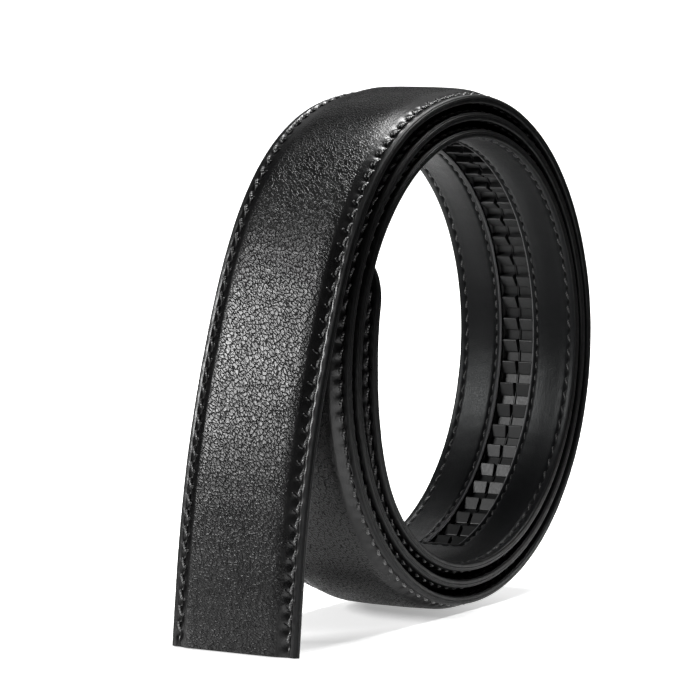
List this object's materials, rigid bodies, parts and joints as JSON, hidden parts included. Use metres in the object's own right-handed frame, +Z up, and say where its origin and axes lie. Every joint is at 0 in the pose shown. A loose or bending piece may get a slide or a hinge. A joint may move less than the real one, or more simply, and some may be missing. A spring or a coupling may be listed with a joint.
{
  "type": "ratchet belt",
  "caption": "Long flat padded strap with a rounded tip, stitched edges and a sunk track of wedge teeth for a sliding buckle's catch, wound in a coil that stands on edge.",
  "frame": {"origin": "middle of the box's base: on the surface that the coil stands on, halfway along Y and on the strap's middle line", "axes": "+X across the strap's width, +Y from the hanging tail toward the coil's far side, +Z up"},
  "size_m": [0.035, 0.153, 0.1321],
  "materials": {
    "pebbled_leather": "black pebbled grain, semi-gloss, with dark edge paint and black seam thread",
    "lining_leather": "black smooth split leather, satin",
    "track_plastic": "black moulded nylon, satin gloss"
  },
  "bodies": {
    "root": {"face_leather": "pebbled_leather", "back_leather": "lining_leather", "ratchet_track": "track_plastic"}
  },
  "joints": []
}
